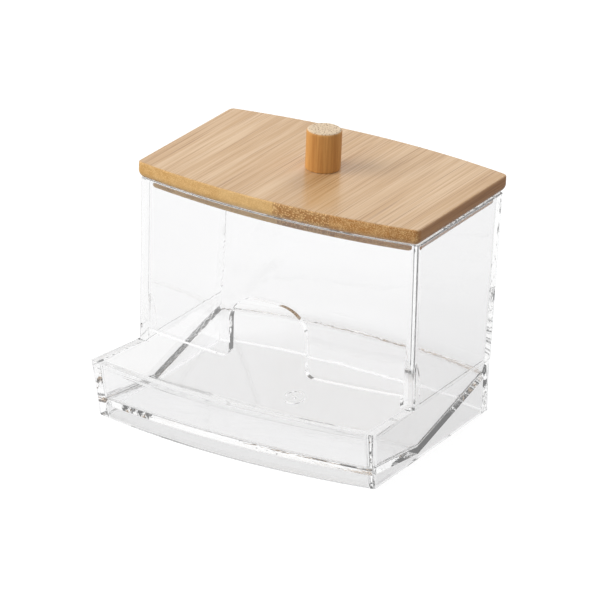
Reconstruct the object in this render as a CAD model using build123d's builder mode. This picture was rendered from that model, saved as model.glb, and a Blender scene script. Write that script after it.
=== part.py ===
from build123d import *
import math
import os

# Clear box for round cotton pads: a bowed box without a floor, standing on a tray that
# reaches out in front of it, under a lift-off lid of edge-glued bamboo strips.
# Millimetres. X runs across the front, +Y to the back, +Z up.
# The origin is at the middle of the overall footprint, on the table.

# ---- driving dimensions ---------------------------------------------------------------

# box
box_width = 110.0          # across the straight short sides
box_depth = 61.0           # between the corner lines of the rim, front to back
rim_height = 81.4          # table to the box's rim
bow_rise = 6.2             # how far the long walls bow out past their corner lines
wall_lean = 2.4            # how far each long wall leans in from the rim to the joint
wall = 3.2                 # wall of the box and of the tray
corner_round = 1.2         # upright outer corners
inner_corner_round = 1.8   # upright inner corners
rim_round = 0.5            # edges of the box's rim

# mouth under the front wall, the finger notch above it, and the corner posts
mouth_top = 24.4           # table to the lower edge of the front wall
notch_half_width = 15.2
notch_top = 49.0
notch_shoulder = 10.5      # round of the notch's upper corners
notch_flare = 3.0          # round where the notch runs out into the mouth
post_width = 1.6           # how far a front corner post stands in from the side wall
post_depth = 2.8           # how far it reaches back from the front wall
post_square_top = 24.0     # table to where the post starts to run out
post_top = 38.0            # table to where it has run out into the corner

# joint and tray
joint_height = 19.8        # table to the face where the box stands on the tray
tray_reach = 28.0          # front rim corner of the tray, ahead of the box's front corners
tray_lean = 5.0            # how far the tray's front leans out from the table to its rim
tray_flare = 1.2           # how far the tray's front corners spread at the rim, each side
front_rim_height = 22.0    # table to the tray's front rim

# floor of the tray, seen from the side
floor_front_height = 7.0   # floor at the inside of the front wall
floor_low_height = 3.4     # lowest line of the floor
floor_low_reach = 9.0      # that line, behind the box's front corner line
ramp_angle = 14.0          # rise of the ramp from the lowest line to the back, degrees
back_cove = 4.0            # round where the ramp turns up into the back wall
floor_sheet = 2.4          # thickness of the floor and the ramp
floor_blend = 1.7          # inside round between the floor and the other walls

# gate mark that the moulding leaves on the floor
gate_reach = 17.6          # behind the box's front corner line
gate_ring_radius = 3.9
gate_ring_width = 0.7
gate_ring_height = 0.35
gate_nub_radius = 0.8
gate_nub_height = 0.5

# lid
slab_thickness = 6.2
slab_overhang = 1.4        # past the box's front and back corner lines
slab_side_overhang = 0.6   # past the box's short sides
slab_corner_round = 2.2
slab_top_round = 0.6
slab_lower_round = 3.0
plug_depth = 3.4           # how far the lid reaches down into the box
plug_clearance = 0.6       # between the plug and the box's walls
plug_corner_round = 2.5
plug_lower_round = 0.8
strip_width = 21.6         # bamboo strips glued edge to edge
strip_joint = 2.0          # glue joint nearest the middle

# knob and its screw
knob_diameter = 12.4
knob_height = 14.5
knob_top_round = 1.1
knob_foot_round = 0.4
screw_diameter = 3.0
screw_head_diameter = 5.8
screw_head_height = 1.6
screw_grip = 8.5           # how far the screw reaches up into the knob
screw_tip_length = 2.0
screw_clearance = 0.1      # round the screw where it passes through the lid
pilot_clearance = 0.05     # round the screw inside the knob
head_sink = 0.3            # how deep the head sits under the plug's lower face
recess_width = 0.8         # cross recess in the head
recess_span = 3.0
recess_depth = 0.9

# ---- sizes that follow ------------------------------------------------------------------

half_width = box_width / 2
reach_ahead = tray_reach + bow_rise               # from the box's front corner line
reach_behind = box_depth + slab_overhang + bow_rise
box_front = (reach_ahead - reach_behind) / 2      # corner line of the box's front rim
overall_front = box_front - reach_ahead
overall_back = box_front + reach_behind
box_back = box_front + box_depth
joint_front = box_front + wall_lean               # the same lines at the joint
joint_back = box_back - wall_lean
lean_slope = wall_lean / (rim_height - joint_height)
tray_rim_front = box_front - tray_reach
slab_top = rim_height + slab_thickness
plug_bottom = rim_height - plug_depth
lid_middle = (box_front + box_back) / 2           # the knob and its screw stand on this line
knob_axis = Axis((0, lid_middle, 0), (0, 0, 1))
knob_section = Plane.XZ.offset(-lid_middle)
post_inside = half_width - wall - post_width
bow_radius = (half_width**2 + bow_rise**2) / (2 * bow_rise)
post_bow = math.sqrt(bow_radius**2 - post_inside**2) - (bow_radius - bow_rise)
rim_rise_start = joint_front - post_bow           # the tray's rim climbs ahead of the posts
over = 4.0                                         # how far cutters run past what they cut
near = 0.01                                        # reach for picking corners by their place

os.makedirs("parts", exist_ok=True)


def save(piece, name):
    """Label a finished piece, write its file and print its volume."""
    piece.label = name
    export_step(piece, f"parts/{name}.step")
    print(name, round(piece.volume, 1), len(piece.solids()))


def bowed_outline(half, front, back, rounding, inset=0.0):
    """Outline with straight sides, bowed front and back, and rounded corners."""
    with BuildSketch() as outline:
        with BuildLine():
            ThreePointArc((-half, front), (0, front - bow_rise), (half, front))
            Line((half, front), (half, back))
            ThreePointArc((half, back), (0, back + bow_rise), (-half, back))
            Line((-half, back), (-half, front))
        make_face()
        if inset > 0:
            offset(amount=-inset, kind=Kind.INTERSECTION)
        fillet(outline.vertices(), radius=rounding)
    return outline.sketch


def box_outline(height, rounding, inset=0.0):
    """The box at a height above the table: its outside, or its inside when inset."""
    lean = (rim_height - height) * lean_slope
    return bowed_outline(half_width, box_front + lean, box_back - lean, rounding, inset)


def tray_outline(height, rounding, inset=0.0, square_back=False):
    """The tray at a height: straight beside the box, flared and leaning out ahead of it."""
    share = height / front_rim_height
    half_front = half_width + tray_flare * share
    front = tray_rim_front + tray_lean * (1 - share)
    with BuildSketch() as outline:
        with BuildLine():
            ThreePointArc((-half_front, front), (0, front - bow_rise), (half_front, front))
            Line((half_front, front), (half_width, joint_front))
            Line((half_width, joint_front), (half_width, joint_back))
            ThreePointArc(
                (half_width, joint_back),
                (0, joint_back + bow_rise),
                (-half_width, joint_back),
            )
            Line((-half_width, joint_back), (-half_width, joint_front))
            Line((-half_width, joint_front), (-half_front, front))
        make_face()
        if inset > 0:
            offset(amount=-inset, kind=Kind.INTERSECTION)
        by_depth = outline.vertices().group_by(Axis.Y)
        back_corners = [] if square_back else by_depth[-1]
        fillet(by_depth[0] + back_corners, radius=rounding)
    return outline.sketch


# ---- box ----------------------------------------------------------------------------------

with BuildPart() as upper_box:
    for height in (joint_height, rim_height):
        with BuildSketch(Plane.XY.offset(height)):
            add(box_outline(height, corner_round))
    loft(ruled=True)
    for height in (joint_height - over, rim_height + over):
        with BuildSketch(Plane.XY.offset(height)):
            add(box_outline(height, inner_corner_round, wall))
    loft(ruled=True, mode=Mode.SUBTRACT)
    fillet(upper_box.faces().sort_by(Axis.Z)[-1].edges(), radius=rim_round)

    # front corner posts, which run out into the corners above the mouth
    post_front = joint_front + wall / 2
    post_back = joint_front + wall + post_depth
    for side in (-1, 1):
        with BuildSketch(Plane.YZ.offset(side * post_inside)):
            with BuildLine():
                Polyline(
                    (post_front, post_top),
                    (post_front, joint_height),
                    (post_back, joint_height),
                    (post_back, post_square_top),
                )
                TangentArc((post_back, post_square_top), (post_front, post_top), tangent=(0, 1))
            make_face()
        extrude(amount=side * (post_width + wall / 2))

    # mouth between the posts, and the finger notch that opens up from it
    with BuildSketch(Plane.XZ.offset(-post_back)):
        with Locations((0, (mouth_top + joint_height - over) / 2)):
            Rectangle(2 * post_inside, mouth_top - joint_height + over)
        with Locations((0, (notch_top + joint_height) / 2)):
            Rectangle(2 * notch_half_width, notch_top - joint_height)
        shoulders = vertices().filter_by(lambda v: abs(v.Y - notch_top) < near)
        fillet(shoulders, radius=notch_shoulder)
        runouts = vertices().filter_by(
            lambda v: abs(abs(v.X) - notch_half_width) < near and abs(v.Y - mouth_top) < near
        )
        fillet(runouts, radius=notch_flare)
    extrude(amount=post_back - overall_front, mode=Mode.SUBTRACT)

save(upper_box.part, "upper_box")

# ---- tray ---------------------------------------------------------------------------------

# floor line seen from the side: down from the front wall to the lowest line, then the ramp
ramp_rise = math.tan(math.radians(ramp_angle))
floor_low = box_front + floor_low_reach
floor_start = tray_rim_front + tray_lean + wall
front_fall = (floor_front_height - floor_low_height) / (floor_low - floor_start)


def floor_height(y):
    """Top of the floor at a distance from the middle of the object."""
    if y < floor_low:
        return floor_low_height + (floor_low - y) * front_fall
    return floor_low_height + (y - floor_low) * ramp_rise


floor_front_end = overall_front - over
floor_back_end = overall_back + over
low_edge_top = floor_height(joint_back)           # every edge of the floor lies below this
with BuildPart() as tray_hollow:
    for height in (-over, front_rim_height + over):
        with BuildSketch(Plane.XY.offset(height)):
            add(tray_outline(height, inner_corner_round, wall, square_back=True))
    loft(ruled=True)
    with BuildSketch(Plane.YZ.offset(-box_width)):
        with BuildLine():
            Polyline(
                (floor_front_end, floor_height(floor_front_end)),
                (floor_low, floor_low_height),
                (floor_back_end, floor_height(floor_back_end)),
                (floor_back_end, front_rim_height + 2 * over),
                (floor_front_end, front_rim_height + 2 * over),
                close=True,
            )
        make_face()
    extrude(amount=2 * box_width, mode=Mode.INTERSECT)
    # cove at the foot of the back wall, then the upright back corners, then the rest
    back_wall = tray_hollow.faces().sort_by(Axis.Y)[-1]
    fillet(back_wall.edges().sort_by(Axis.Z)[0], radius=back_cove)
    back_wall = tray_hollow.faces().sort_by(Axis.Y)[-1]
    across = back_wall.edges().sort_by(Axis.X)
    fillet([across[0], across[-1]], radius=inner_corner_round)
    floor_edges = tray_hollow.edges().filter_by(
        lambda e: e.center().Z < low_edge_top
        and e.center().Y < joint_back - wall
        and abs(e.tangent_at(0.5).Z) < 0.5
    )
    fillet(floor_edges, radius=floor_blend)

with BuildPart() as tray_underside:
    for height in (-over, front_rim_height + over):
        with BuildSketch(Plane.XY.offset(height)):
            add(tray_outline(height, inner_corner_round, wall))
    loft(ruled=True)
    with BuildSketch(Plane.YZ.offset(-box_width)):
        with BuildLine():
            Polyline(
                (floor_front_end, floor_height(floor_front_end) - floor_sheet),
                (floor_low, floor_low_height - floor_sheet),
                (floor_back_end, floor_height(floor_back_end) - floor_sheet),
                (floor_back_end, -2 * over),
                (floor_front_end, -2 * over),
                close=True,
            )
        make_face()
    extrude(amount=2 * box_width, mode=Mode.INTERSECT)

with BuildPart() as dispensing_tray:
    for height in (0, front_rim_height + over):
        with BuildSketch(Plane.XY.offset(height)):
            add(tray_outline(height, corner_round))
    loft(ruled=True)
    # flat under the box, rising to the front rim ahead of it
    with BuildSketch(Plane.YZ.offset(-box_width)):
        with BuildLine():
            Polyline(
                (overall_back + over, joint_height),
                (rim_rise_start, joint_height),
                (tray_rim_front, front_rim_height),
                (overall_front - over, front_rim_height),
                (overall_front - over, front_rim_height + 2 * over),
                (overall_back + over, front_rim_height + 2 * over),
                close=True,
            )
        make_face()
    extrude(amount=2 * box_width, mode=Mode.SUBTRACT)
    add(tray_hollow.part, mode=Mode.SUBTRACT)
    add(tray_underside.part, mode=Mode.SUBTRACT)

    # gate mark: a shallow ring and a nub on the ramp
    gate_y = box_front + gate_reach
    gate_plane = Plane(
        origin=(0, gate_y, floor_height(gate_y)),
        x_dir=(1, 0, 0),
        z_dir=(0, -ramp_rise, 1),
    )
    with BuildSketch(gate_plane.offset(-floor_sheet / 2)):
        Circle(gate_ring_radius)
        Circle(gate_ring_radius - gate_ring_width, mode=Mode.SUBTRACT)
    extrude(amount=floor_sheet / 2 + gate_ring_height)
    with BuildSketch(gate_plane.offset(-floor_sheet / 2)):
        Circle(gate_nub_radius)
    extrude(amount=floor_sheet / 2 + gate_nub_height)

save(dispensing_tray.part, "dispensing_tray")

# ---- lid ------------------------------------------------------------------------------------

screw_radius = screw_diameter / 2
head_radius = screw_head_diameter / 2
screw_bottom = plug_bottom + head_sink
screw_top = slab_top + screw_grip

with BuildPart() as lid_board:
    with BuildSketch(Plane.XY.offset(rim_height)):
        add(bowed_outline(
            half_width + slab_side_overhang,
            box_front - slab_overhang,
            box_back + slab_overhang,
            slab_corner_round,
        ))
    extrude(amount=slab_thickness)
    fillet(lid_board.faces().sort_by(Axis.Z)[-1].edges(), radius=slab_top_round)
    fillet(lid_board.faces().sort_by(Axis.Z)[0].edges(), radius=slab_lower_round)
    with BuildSketch(Plane.XY.offset(plug_bottom)):
        add(box_outline(rim_height, plug_corner_round, wall + plug_clearance))
    extrude(amount=plug_depth + slab_thickness / 2)
    fillet(lid_board.faces().sort_by(Axis.Z)[0].edges(), radius=plug_lower_round)
    # clearance hole and countersink for the knob's screw
    with BuildSketch(knob_section):
        with BuildLine():
            Polyline(
                (0, plug_bottom - over),
                (head_radius + screw_clearance, plug_bottom - over),
                (head_radius + screw_clearance, screw_bottom),
                (screw_radius + screw_clearance, screw_bottom + screw_head_height),
                (screw_radius + screw_clearance, slab_top + over),
                (0, slab_top + over),
                close=True,
            )
        make_face()
    revolve(axis=knob_axis, mode=Mode.SUBTRACT)

# the board is glued from strips that run front to back
slab_half = half_width + slab_side_overhang
strips_left = math.ceil((slab_half + strip_joint) / strip_width) - 1
strips_right = math.ceil((slab_half - strip_joint) / strip_width) - 1
joints = [strip_joint + strip_width * n for n in range(-strips_left, strips_right + 1)]
strip_edges = [-slab_half - over, *joints, slab_half + over]
for number, (left, right) in enumerate(zip(strip_edges, strip_edges[1:]), start=1):
    with BuildPart() as lid_strip:
        add(lid_board.part)
        with BuildSketch(Plane.XY.offset(plug_bottom - over)):
            with Locations(((left + right) / 2, 0)):
                Rectangle(right - left, 2 * overall_back)
        extrude(amount=slab_top - plug_bottom + 2 * over, mode=Mode.INTERSECT)
    save(lid_strip.part, f"lid_strip_{number}")

# ---- knob -------------------------------------------------------------------------------------

with BuildPart() as knob:
    with BuildSketch(Plane.XY.offset(slab_top)):
        with Locations((0, lid_middle)):
            Circle(knob_diameter / 2)
    extrude(amount=knob_height)
    fillet(knob.edges().sort_by(Axis.Z)[-1], radius=knob_top_round)
    fillet(knob.edges().sort_by(Axis.Z)[0], radius=knob_foot_round)
    # pilot hole for the screw
    with BuildSketch(knob_section):
        with BuildLine():
            Polyline(
                (0, slab_top - over),
                (screw_radius + pilot_clearance, slab_top - over),
                (screw_radius + pilot_clearance, screw_top - screw_tip_length),
                (0, screw_top + pilot_clearance),
                close=True,
            )
        make_face()
    revolve(axis=knob_axis, mode=Mode.SUBTRACT)
save(knob.part, "knob")

# ---- screw that holds the knob from under the lid -----------------------------------------------

with BuildPart() as knob_screw:
    with BuildSketch(knob_section):
        with BuildLine():
            Polyline(
                (0, screw_bottom),
                (head_radius, screw_bottom),
                (screw_radius, screw_bottom + screw_head_height),
                (screw_radius, screw_top - screw_tip_length),
                (0, screw_top),
                close=True,
            )
        make_face()
    revolve(axis=knob_axis)
    with BuildSketch(Plane.XY.offset(screw_bottom)):
        with Locations((0, lid_middle)):
            Rectangle(recess_span, recess_width)
            Rectangle(recess_width, recess_span)
    extrude(amount=recess_depth, mode=Mode.SUBTRACT)
save(knob_screw.part, "knob_screw")
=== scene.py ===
import bpy
from mathutils import Matrix, Vector

# Clear holder for cotton pads: two polished mouldings under a lift-off bamboo lid with a
# dowel knob, on a white table in soft studio light.

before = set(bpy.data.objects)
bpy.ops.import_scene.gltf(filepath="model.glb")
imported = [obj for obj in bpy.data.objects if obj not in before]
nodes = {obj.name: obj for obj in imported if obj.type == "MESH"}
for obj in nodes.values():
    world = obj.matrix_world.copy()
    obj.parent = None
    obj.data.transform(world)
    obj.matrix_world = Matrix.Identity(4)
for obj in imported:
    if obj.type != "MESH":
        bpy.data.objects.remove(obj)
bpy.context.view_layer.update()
scene = bpy.context.scene
MM = 0.001
WHITE = (1.0, 1.0, 1.0, 1.0)

# ---- shader graphs written as expressions ---------------------------------------------------


class Value:
    """A shader socket that can be reckoned with."""

    def __init__(self, graph, socket):
        self.graph = graph
        self.socket = socket

    def maths(self, operation, *others):
        names = ("Value", "Value_001", "Value_002")
        return self.graph.node(
            "Math", {"operation": operation}, dict(zip(names, (self, *others)))
        )["Value"]

    def __add__(self, other):
        return self.maths("ADD", other)

    def __radd__(self, other):
        return self.maths("ADD", other)

    def __sub__(self, other):
        return self.maths("SUBTRACT", other)

    def __rsub__(self, other):
        return self.graph.number(other).maths("SUBTRACT", self)

    def __mul__(self, other):
        return self.maths("MULTIPLY", other)

    def __rmul__(self, other):
        return self.maths("MULTIPLY", other)

    def __pow__(self, other):
        return self.maths("POWER", other)

    def at_least(self, other):
        return self.maths("MAXIMUM", other)

    def size(self):
        return self.maths("ABSOLUTE")

    def ramp(self, low, high, to_low=0.0, to_high=1.0):
        """Runs smoothly from to_low to to_high as this value goes from low to high."""
        return self.graph.node(
            "MapRange",
            {"interpolation_type": "SMOOTHSTEP", "clamp": True},
            {"Value": self, "From Min": low, "From Max": high, "To Min": to_low, "To Max": to_high},
        )["Result"]


class Graph:
    """The node tree of a material or of the world."""

    def __init__(self, owner):
        owner.use_nodes = True
        self.tree = owner.node_tree
        self.tree.nodes.clear()

    def node(self, kind, settings, values):
        """Adds a node: its settings first, then the values or links of its sockets."""
        node = self.tree.nodes.new("ShaderNode" + kind)
        for name, value in settings.items():
            setattr(node, name, value)
        sockets = {s.identifier: s for s in node.inputs}
        for name, value in values.items():
            socket = sockets.get(name) or node.inputs[name]
            if isinstance(value, Value):
                self.tree.links.new(value.socket, socket)
            else:
                socket.default_value = value
        found = {s.identifier: Value(self, s) for s in node.outputs}
        found.update({s.name: Value(self, s) for s in node.outputs if s.enabled})
        return found

    def number(self, amount):
        return self.node("Math", {"operation": "ADD"}, {"Value": amount, "Value_001": 0.0})["Value"]

    def place(self):
        """Where a point lies on the piece, in metres."""
        return self.node("TexCoord", {}, {})["Object"]

    def facing(self):
        """The way a surface faces, along each axis."""
        return self.split(self.node("NewGeometry", {}, {})["Normal"])

    def split(self, vector):
        parts = self.node("SeparateXYZ", {}, {"Vector": vector})
        return parts["X"], parts["Y"], parts["Z"]

    def stretched(self, vector, scale, shift=(0.0, 0.0, 0.0)):
        """A place measured in steps of its own along each axis."""
        return self.node(
            "Mapping", {"vector_type": "POINT"}, {"Vector": vector, "Scale": scale, "Location": shift}
        )["Vector"]

    def noise(self, vector, scale, detail=2.0, roughness=0.5):
        return self.node(
            "TexNoise",
            {"noise_dimensions": "3D"},
            {"Vector": vector, "Scale": scale, "Detail": detail, "Roughness": roughness},
        )["Fac"]

    def grain(self, vector, steps, detail=3.0, roughness=0.5):
        """Noise drawn out along the grain: steps to the metre along each axis."""
        return self.noise(self.stretched(vector, steps), 1.0, detail, roughness)

    def cells(self, vector, scale):
        """Distance to the nearest of scattered points."""
        return self.node(
            "TexVoronoi",
            {"voronoi_dimensions": "3D", "feature": "F1"},
            {"Vector": vector, "Scale": scale},
        )["Distance"]

    def mix(self, blend_type, share, first, second):
        return self.node(
            "Mix",
            {"data_type": "RGBA", "blend_type": blend_type, "clamp_factor": True},
            {"Factor_Float": share, "A_Color": first, "B_Color": second},
        )["Result_Color"]

    def blend(self, share, first, second):
        """Colour between two colours."""
        return self.mix("MIX", share, first, second)

    def tint(self, share, first, second):
        """Colour multiplied by another."""
        return self.mix("MULTIPLY", share, first, second)

    def bump(self, height, distance, strength):
        return self.node(
            "Bump", {}, {"Height": height, "Distance": distance, "Strength": strength}
        )["Normal"]

    def surface(self, values):
        """Principled surface of the material."""
        shader = self.node("BsdfPrincipled", {}, values)["BSDF"]
        self.node("OutputMaterial", {}, {"Surface": shader})


def dress(name, material):
    """Gives a CAD node its finish."""
    piece = nodes[name]
    piece.data.materials.clear()
    piece.data.materials.append(material)


# ---- bamboo lid -------------------------------------------------------------------------------

PALE = (0.70, 0.485, 0.285, 1.0)
HONEY = (0.55, 0.335, 0.155, 1.0)
BROWN = (0.34, 0.165, 0.055, 1.0)
GOLD = (0.86, 0.57, 0.25, 1.0)
# painted shade, multiplied into the strips' faces that look to either side
SIDE_SHADE = (0.74, 0.54, 0.34, 1.0)

# steps of the grain to the metre: across the strip, along it, and up
BROAD_STREAKS = (180.0, 7.0, 180.0)
FINE_STREAKS = (1150.0, 20.0, 1150.0)
DARK_LINES = (2600.0, 16.0, 2600.0)
FIBRE_ENDS = (1.0, 0.2, 1.0)
FIBRES_TO_METRE = 2500.0
COARSE_FIBRES_TO_METRE = 1500.0
CLOUDS_TO_METRE = 420.0
LID_RELIEF = 0.08 * MM


def bamboo(name, shift, ends_colour, coarse):
    """Strip of bamboo with its grain along Y: streaks on top, fibre ends front and back, painted
    shade on the faces to either side.
    """
    material = bpy.data.materials.new(name)
    g = Graph(material)
    place = g.stretched(g.place(), (1.0, 1.0, 1.0), (shift, shift * 0.7, 0.0))
    facing_x, facing_y, _ = g.facing()
    ends = facing_y.size().ramp(0.45, 0.8)
    # faces that look to either side, which are given painted shade
    painted_side_shade = facing_x.size().ramp(0.5, 0.85)
    # streaks and dark lines along the strip
    broad = g.grain(place, BROAD_STREAKS)
    fine = g.grain(place, FINE_STREAKS, roughness=0.6)
    lines = g.grain(place, DARK_LINES, detail=2.0)
    streak = broad.ramp(0.36, 0.64) * 0.6 + fine.ramp(0.40, 0.60) * 0.5
    colour = g.blend(streak, PALE, HONEY)
    colour = g.blend(lines.ramp(0.54, 0.68) * 0.7, colour, BROWN)
    # painted shade: faces that look to either side are darkened as if turned from the light
    colour = g.tint(painted_side_shade, colour, SIDE_SHADE)
    # fibre ends: golden specks in a darker ground
    fibres = COARSE_FIBRES_TO_METRE if coarse else FIBRES_TO_METRE
    speck = g.cells(g.stretched(place, FIBRE_ENDS), fibres).ramp(0.50, 0.22)
    cloud = g.noise(place, CLOUDS_TO_METRE)
    gold = speck * 0.8 + cloud.ramp(0.40, 0.70) * 0.25
    colour = g.blend(ends, colour, g.blend(gold, ends_colour, GOLD))
    relief = (fine * 0.6 + lines * 0.4) * (1.0 - ends) + speck * ends
    g.surface({
        "Base Color": colour,
        "Roughness": 0.30 + fine * 0.14,
        "Normal": g.bump(relief, LID_RELIEF, 0.4),
        "Specular IOR Level": 0.5,
        "Coat Weight": 0.4,
        "Coat Roughness": 0.22,
    })
    return material


# each strip, from the left: shift of its grain, ground of its end grain, coarse fibres
strip_looks = (
    (0.13, (0.60, 0.33, 0.10, 1.0), False),
    (0.37, (0.63, 0.36, 0.12, 1.0), False),
    (0.71, (0.68, 0.41, 0.15, 1.0), False),
    (0.92, (0.40, 0.18, 0.05, 1.0), True),
    (1.31, (0.46, 0.20, 0.045, 1.0), False),
    (1.77, (0.42, 0.18, 0.04, 1.0), False),
)
for number, (shift, ends_colour, coarse) in enumerate(strip_looks, start=1):
    dress(f"lid_strip_{number}", bamboo(f"bamboo_{number}", shift, ends_colour, coarse))

# ---- knob and screw ---------------------------------------------------------------------------

DOWEL_LIGHT = (0.68, 0.35, 0.105, 1.0)
DOWEL_DEEP = (0.46, 0.20, 0.05, 1.0)
DOWEL_TOP = (0.72, 0.57, 0.40, 1.0)
DOWEL_FIBRE = (0.26, 0.15, 0.08, 1.0)
DOWEL_STREAKS = (300.0, 300.0, 14.0)
DOWEL_FINE_STREAKS = (1500.0, 1500.0, 40.0)
DOWEL_FIBRE_ENDS = (1.0, 1.0, 0.2)
DOWEL_FIBRES_TO_METRE = 1500.0
DOWEL_RELIEF = 0.12 * MM


def dowel_finish():
    """Turned bamboo dowel with its grain upright and fibre ends on top."""
    material = bpy.data.materials.new("bamboo_dowel")
    g = Graph(material)
    place = g.place()
    _, _, facing_z = g.facing()
    ends = facing_z.size().ramp(0.5, 0.85)
    broad = g.grain(place, DOWEL_STREAKS)
    fine = g.grain(place, DOWEL_FINE_STREAKS, roughness=0.6)
    streak = broad.ramp(0.35, 0.65) * 0.6 + fine.ramp(0.4, 0.65) * 0.4
    colour = g.blend(streak, DOWEL_LIGHT, DOWEL_DEEP)
    cells = g.cells(g.stretched(place, DOWEL_FIBRE_ENDS), DOWEL_FIBRES_TO_METRE)
    speck = 1.0 - cells.ramp(0.2, 0.45)
    colour = g.blend(ends, colour, g.blend(speck * 0.85, DOWEL_TOP, DOWEL_FIBRE))
    g.surface({
        "Base Color": colour,
        "Roughness": 0.42 + fine * 0.18,
        "Normal": g.bump(fine * (1.0 - ends) - speck * ends, DOWEL_RELIEF, 0.5),
        "Specular IOR Level": 0.4,
    })
    return material


def steel_finish():
    """Plain zinc-plated steel."""
    material = bpy.data.materials.new("screw_steel")
    g = Graph(material)
    wear = g.noise(g.place(), 900.0, 3.0)
    g.surface({
        "Base Color": g.blend(wear, (0.55, 0.55, 0.53, 1.0), (0.68, 0.68, 0.66, 1.0)),
        "Metallic": 1.0,
        "Roughness": 0.28 + wear * 0.14,
    })
    return material


dress("knob", dowel_finish())
dress("knob_screw", steel_finish())

# ---- clear plastic ----------------------------------------------------------------------------

JOINT_HEIGHT = 19.8 * MM           # where the box stands on the tray
SEAM_HALF_WIDTH = 0.35 * MM
FLOW_RELIEF = 0.6 * MM
STYRENE_IOR = 1.57
# strength of a faint painted white glow of the plastic, a stand-in for haze
PAINTED_HAZE_GLOW = 0.011
mouldings = ("upper_box", "dispensing_tray")


def clear_plastic():
    """Polished clear moulding with faint flow marks, a faint painted white glow for haze and a seam
    line.
    """
    material = bpy.data.materials.new("clear_plastic")
    g = Graph(material)
    place = g.place()
    _, _, z = g.split(place)
    flow = g.noise(place, 28.0)
    ripple = g.noise(place, 210.0)
    smudge = g.noise(place, 60.0, 4.0, 0.6)
    groove = (z - JOINT_HEIGHT).size().ramp(0.0, SEAM_HALF_WIDTH)
    g.surface({
        "Base Color": g.blend(smudge, (0.980, 0.980, 0.983, 1.0), (0.992, 0.992, 0.994, 1.0)),
        "Roughness": smudge.ramp(0.55, 0.8, 0.0, 0.03),
        "Normal": g.bump(flow + ripple * 0.16 + groove * 0.35, FLOW_RELIEF, 0.25),
        "Transmission Weight": 1.0,
        "IOR": STYRENE_IOR,
        # painted glow: the plastic gives off a little white light of its own
        "Emission Color": WHITE,
        "Emission Strength": PAINTED_HAZE_GLOW,
    })
    return material


def bonded_joint():
    """Faces that light passes straight, because the mouldings are bonded there."""
    material = bpy.data.materials.new("bonded_joint")
    g = Graph(material)
    g.node("OutputMaterial", {}, {"Surface": g.node("BsdfTransparent", {}, {})["BSDF"]})
    return material


plastic = clear_plastic()
bond = bonded_joint()
for name in mouldings:
    dress(name, plastic)
    mesh = nodes[name].data
    mesh.materials.append(bond)
    for face in mesh.polygons:
        if abs(face.normal.z) > 0.99 and abs(face.center.z - JOINT_HEIGHT) < 0.01 * MM:
            face.material_index = 1

# ---- table and light --------------------------------------------------------------------------

TABLE_HALF = 6.0
TABLE_HEIGHT = -0.1 * MM           # just clear of the tray's foot
POOL_INNER = 0.42                 # painted pool of light on the table round the object, and where it has faded
POOL_OUTER = 0.75
POOL_FADED = 0.35


def plate(name, half, height):
    """Level square sheet."""
    mesh = bpy.data.meshes.new(name)
    mesh.from_pydata(
        [(x * half, y * half, height) for x, y in ((-1, -1), (1, -1), (1, 1), (-1, 1))],
        [],
        [(0, 1, 2, 3)],
    )
    piece = bpy.data.objects.new(name, mesh)
    scene.collection.objects.link(piece)
    return piece


def kinds_of_ray(g):
    """1 for rays straight from the camera, for those through plastic, for mirrored ones."""
    path = g.node("LightPath", {}, {})
    return path["Is Camera Ray"], path["Is Transmission Ray"], path["Is Glossy Ray"]


floor = plate("table", TABLE_HALF, TABLE_HEIGHT)
floor_paint = bpy.data.materials.new("white_table")
g = Graph(floor_paint)
straight, through, mirrored = kinds_of_ray(g)
x, y, _ = g.split(g.place())
# painted pool of light: the table's glow, as seen through the plastic, is bright round the object and
# fades further off
painted_light_pool = ((x ** 2.0 + y ** 2.0) ** 0.5).ramp(POOL_OUTER, POOL_INNER, POOL_FADED, 1.0)
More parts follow.
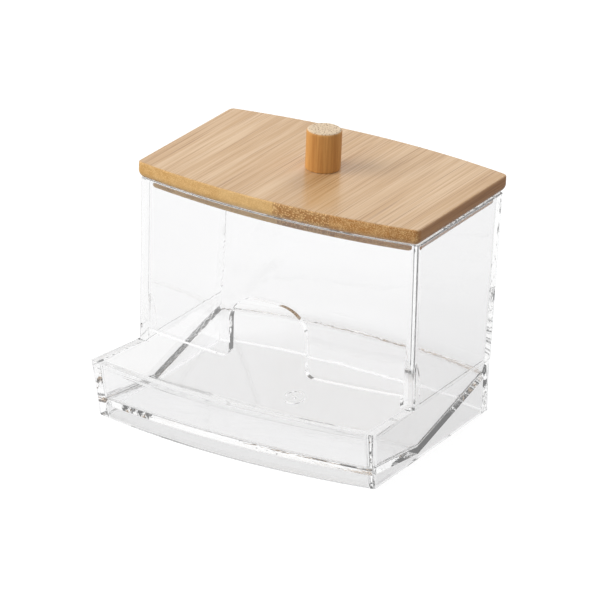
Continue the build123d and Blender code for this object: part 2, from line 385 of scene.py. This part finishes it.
# painted light and shade on the table: brighter where seen through the plastic, darker where seen
# mirrored in it
painted_table_light = 0.30 + (through * 0.645 - mirrored * 0.215) * painted_light_pool - through * (1.0 - painted_light_pool) * 0.25
g.surface({
    "Base Color": (0.22, 0.22, 0.22, 1.0),
    "Roughness": 0.9,
    "Specular IOR Level": 0.0,
    "Emission Color": WHITE,
    "Emission Strength": painted_table_light + straight * 0.60,
})
floor.data.materials.append(floor_paint)

# The world is white, with a dim band between two heights for what shows in the plastic.
world = bpy.data.worlds.new("studio")
scene.world = world
g = Graph(world)
straight, through, mirrored = kinds_of_ray(g)
seen = straight.at_least(through).at_least(mirrored)
_, _, rise = g.split(g.node("TexCoord", {}, {})["Generated"])
dim = rise.ramp(0.44, 0.50) * rise.ramp(0.66, 0.60)
background = g.node("Background", {}, {
    "Color": WHITE,
    "Strength": 0.50 + seen * (0.50 - dim * 0.78),
})["Background"]
g.node("OutputWorld", {}, {"Surface": background})


def lamp(name, place, aim, size, power):
    """Soft square lamp that lights the object and isn't mirrored in it."""
    light = bpy.data.lights.new(name, "AREA")
    light.size = size
    light.energy = power
    piece = bpy.data.objects.new(name, light)
    piece.location = place
    piece.rotation_euler = (Vector(aim) - Vector(place)).to_track_quat("-Z", "Y").to_euler()
    piece.visible_glossy = False
    piece.visible_transmission = False
    scene.collection.objects.link(piece)


lamp_aim = (0.0, 0.0, 0.05)
lamp("key", (-1.05, -0.85, 0.85), lamp_aim, 1.1, 21.0)
lamp("back", (-0.12, 0.95, 0.80), lamp_aim, 0.45, 5.0)

# ---- camera, at the photograph's angle ----------------------------------------------------------

camera_data = bpy.data.cameras.new("camera")
camera = bpy.data.objects.new("camera", camera_data)
scene.collection.objects.link(camera)
camera_place = Vector((867.632, -1571.151, 792.447)) * MM
camera_right = Vector((0.86667168, 0.49728406, 0.03985928))
camera_up = Vector((-0.22390917, 0.31634189, 0.9218419))
camera_back = Vector((0.44580813, -0.80785913, 0.38551102))
turn = Matrix((camera_right, camera_up, camera_back)).transposed().to_4x4()
camera.matrix_world = Matrix.Translation(camera_place) @ turn
camera_data.lens = 336.734
camera_data.sensor_width = 36.0
camera_data.clip_end = 50.0
scene.camera = camera

scene.view_settings.view_transform = "Standard"
# enough bounces for the edges of the thick clear walls
scene.cycles.max_bounces = 64
scene.cycles.transmission_bounces = 64
scene.cycles.glossy_bounces = 16
scene.cycles.transparent_max_bounces = 32
